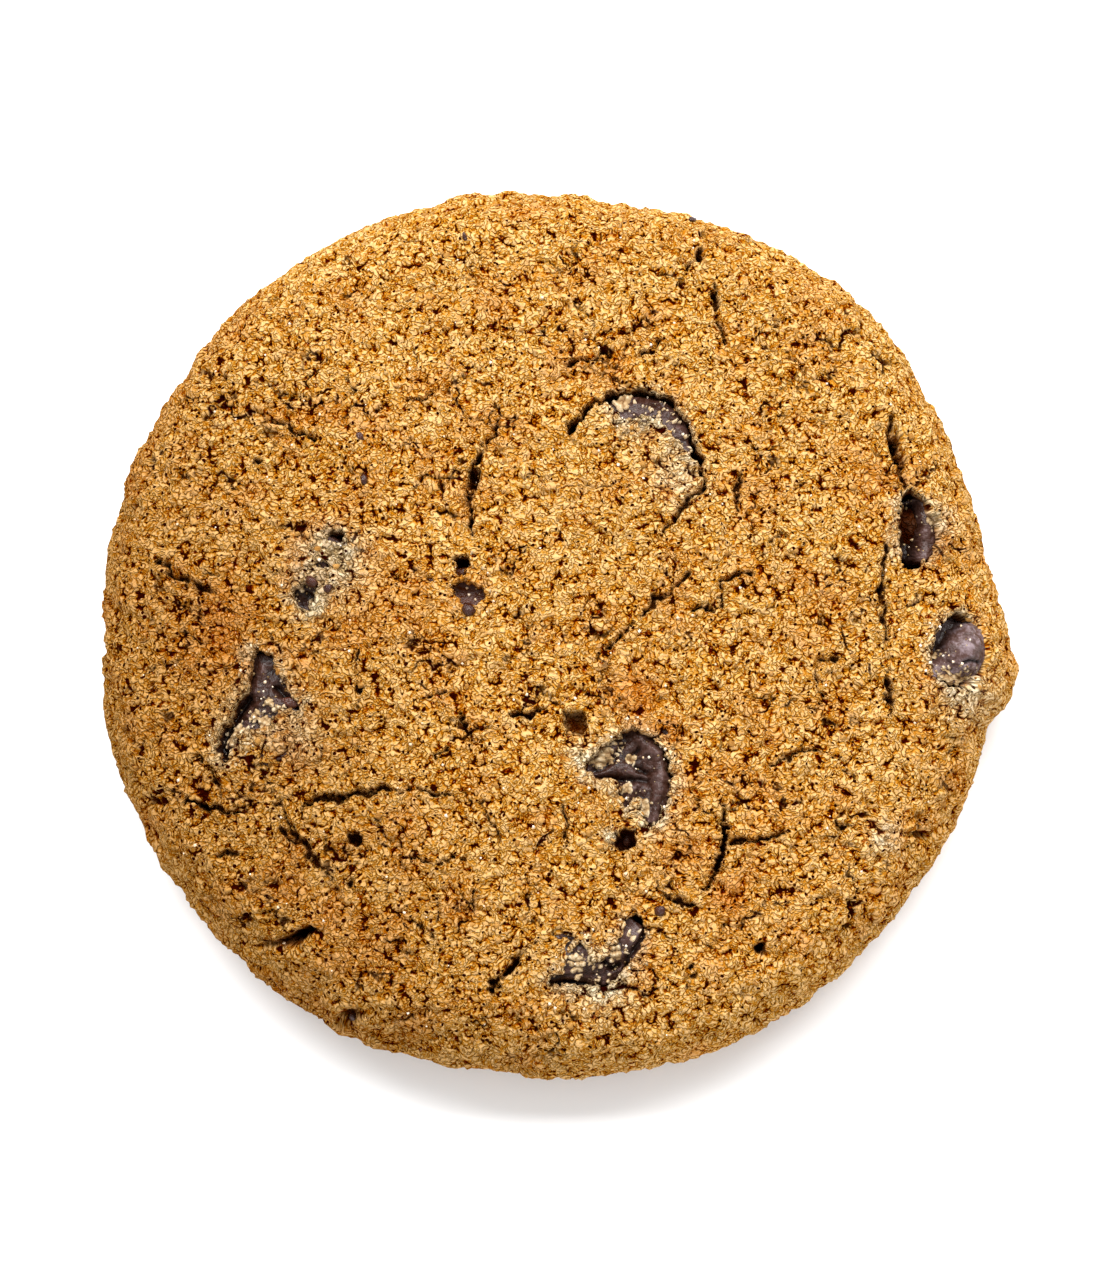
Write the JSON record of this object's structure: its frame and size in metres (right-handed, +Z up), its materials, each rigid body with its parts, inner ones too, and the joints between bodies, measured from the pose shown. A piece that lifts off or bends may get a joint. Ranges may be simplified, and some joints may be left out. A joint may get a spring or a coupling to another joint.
{
  "type": "pumpkin spice cookie with chocolate chips",
  "caption": "Round thick cookie with a flat base, rounded edge and cracked granular crust, with chocolate chips baked in that show through openings.",
  "frame": {"origin": "on the flat base, under the middle of the cookie's outer box", "axes": "+Z up out of the crust, +Y towards the side with the domed chip, +X towards the lump with the chip at the edge"},
  "size_m": [0.0862, 0.0844, 0.0135],
  "materials": {
    "crust": "matte baked crust of fine crumbs, golden tan on the tops and orange-brown in the hollows",
    "chocolate": "dark chocolate with a slight grey bloom, satin, with a few small glints"
  },
  "bodies": {
    "root": {"dough": "crust", "chip_domed": "chocolate", "chip_in_crack": "chocolate", "chip_at_edge": "chocolate", "chip_left": "chocolate", "chip_middle": "chocolate", "chip_low": "chocolate", "chip_hidden": "chocolate", "chip_small": "chocolate"}
  },
  "joints": []
}
